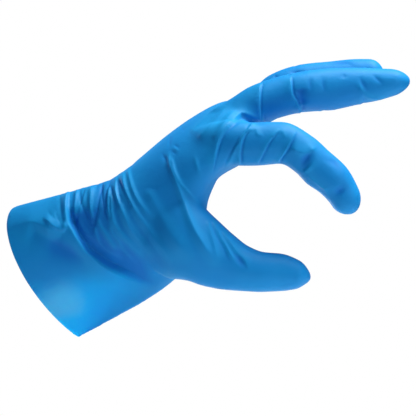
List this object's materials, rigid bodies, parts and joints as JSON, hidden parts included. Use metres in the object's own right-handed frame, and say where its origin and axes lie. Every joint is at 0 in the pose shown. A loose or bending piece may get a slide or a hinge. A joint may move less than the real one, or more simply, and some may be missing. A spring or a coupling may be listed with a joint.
{
  "type": "disposable glove",
  "caption": "Disposable nitrile glove in its worn form, index finger bent over the thumb for a pinch, other fingers reaching forward, cuff open.",
  "frame": {"origin": "middle of the cuff's opening, where the wrist goes in", "axes": "+X from the cuff to the fingertips, +Z the back of the hand, -Y the thumb side"},
  "size_m": [0.2299, 0.0901, 0.1585],
  "materials": {
    "nitrile_film": "satin dipped film, mid blue"
  },
  "bodies": {
    "root": {"glove_shell": "nitrile_film"}
  },
  "joints": []
}
